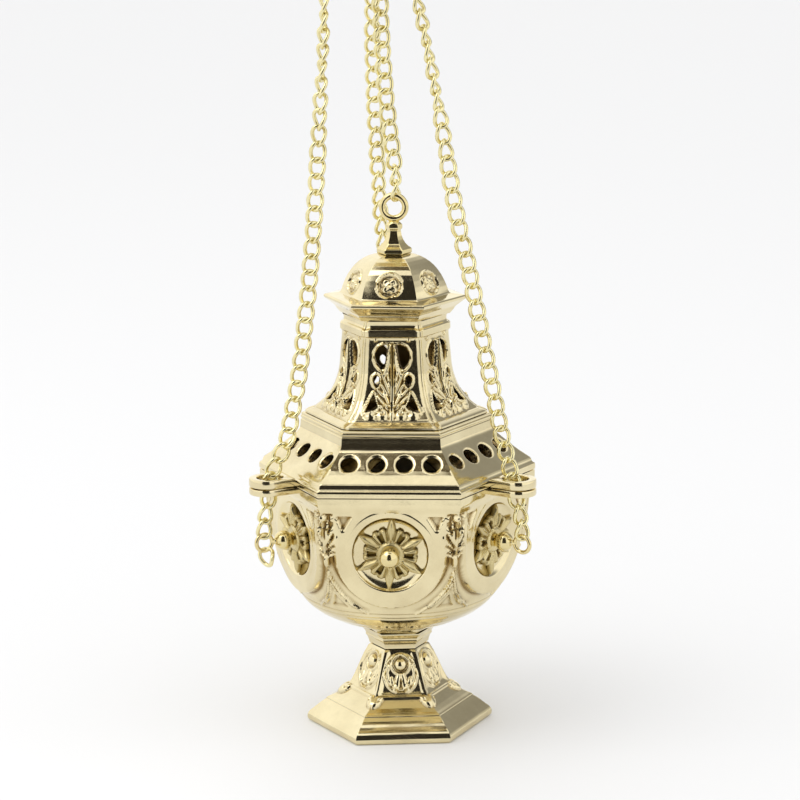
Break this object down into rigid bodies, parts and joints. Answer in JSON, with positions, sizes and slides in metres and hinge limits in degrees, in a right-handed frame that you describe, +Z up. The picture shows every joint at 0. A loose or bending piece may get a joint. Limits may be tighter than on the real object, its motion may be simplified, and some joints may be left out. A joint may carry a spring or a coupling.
{
  "type": "thurible censer",
  "caption": "Six-sided cast brass censer on a foot, with a pierced lid that slides up its suspension chains, a charcoal cup, a chain plate, a handle ring and a pull ring.",
  "frame": {"origin": "on the floor under the middle of the object's outline, 5.6 mm behind the hexagon's axis, because the back ear reaches further than the front stud", "axes": "+Z up along the hexagon's axis, -Y out of the front face between the left and right ears, +X to the right ear's side"},
  "size_m": [0.1302, 0.1368, 0.392],
  "materials": {
    "cast_brass": "polished cast brass, darker in the recesses",
    "turned_brass": "polished turned brass",
    "rosette_brass": "cast brass relief, polished on its high points",
    "chain_brass": "bright brass wire",
    "cup_steel": "dull spun steel"
  },
  "bodies": {
    "censer": {"foot": "cast_brass", "stem_collar": "cast_brass", "bowl": "cast_brass", "fixing_bolt": "turned_brass", "fixing_washer": "turned_brass", "fixing_nut": "turned_brass", "rosette_front": "rosette_brass", "rosette_front_right": "rosette_brass", "rosette_back_right": "rosette_brass", "rosette_back": "rosette_brass", "rosette_back_left": "rosette_brass", "rosette_front_left": "rosette_brass", "ball_stud_front": "turned_brass", "ball_stud_back_right": "turned_brass", "ball_stud_back_left": "turned_brass", "eye_stud_left": "turned_brass", "eye_stud_right": "turned_brass", "eye_stud_back": "turned_brass", "stud_nut_front": "turned_brass", "stud_nut_front_right": "turned_brass", "stud_nut_back_right": "turned_brass", "stud_nut_back": "turned_brass", "stud_nut_back_left": "turned_brass", "stud_nut_front_left": "turned_brass", "chain_left": "chain_brass", "chain_right": "chain_brass", "chain_back": "chain_brass", "chain_plate": "cast_brass", "plate_eye_left": "turned_brass", "plate_eye_right": "turned_brass", "plate_eye_back": "turned_brass", "handle_eye": "turned_brass", "handle_nut": "turned_brass"},
    "lid": {"lid_skirt": "cast_brass", "lid_tower": "cast_brass", "lid_dome": "cast_brass", "finial": "turned_brass", "finial_nut": "turned_brass", "lid_chain": "chain_brass"},
    "charcoal_cup": {"charcoal_cup": "cup_steel"},
    "handle_ring": {"handle_ring": "turned_brass"},
    "pull_ring": {"pull_ring": "turned_brass"}
  },
  "joints": [
    {"name": "lid_lift", "type": "slide", "parent": "censer", "child": "lid", "axis": [0, 0, 1], "range_m": [0, 0.04], "deforming": ["chain_left", "chain_right", "chain_back", "lid_chain"]},
    {"name": "charcoal_cup_lift", "type": "slide", "parent": "censer", "child": "charcoal_cup", "axis": [0, 0, 1], "range_m": [0, 0.022]},
    {"name": "handle_ring_swing", "type": "hinge", "parent": "censer", "child": "handle_ring", "pos_m": [-0.01, -0.00622, 0.36445], "axis": [1, 0, 0], "range_deg": [-80, 15]},
    {"name": "pull_ring_swing", "type": "hinge", "parent": "lid", "child": "pull_ring", "pos_m": [-0.0048, -0.01642, 0.3602], "axis": [-1, 0, 0], "range_deg": [0, 100]}
  ]
}
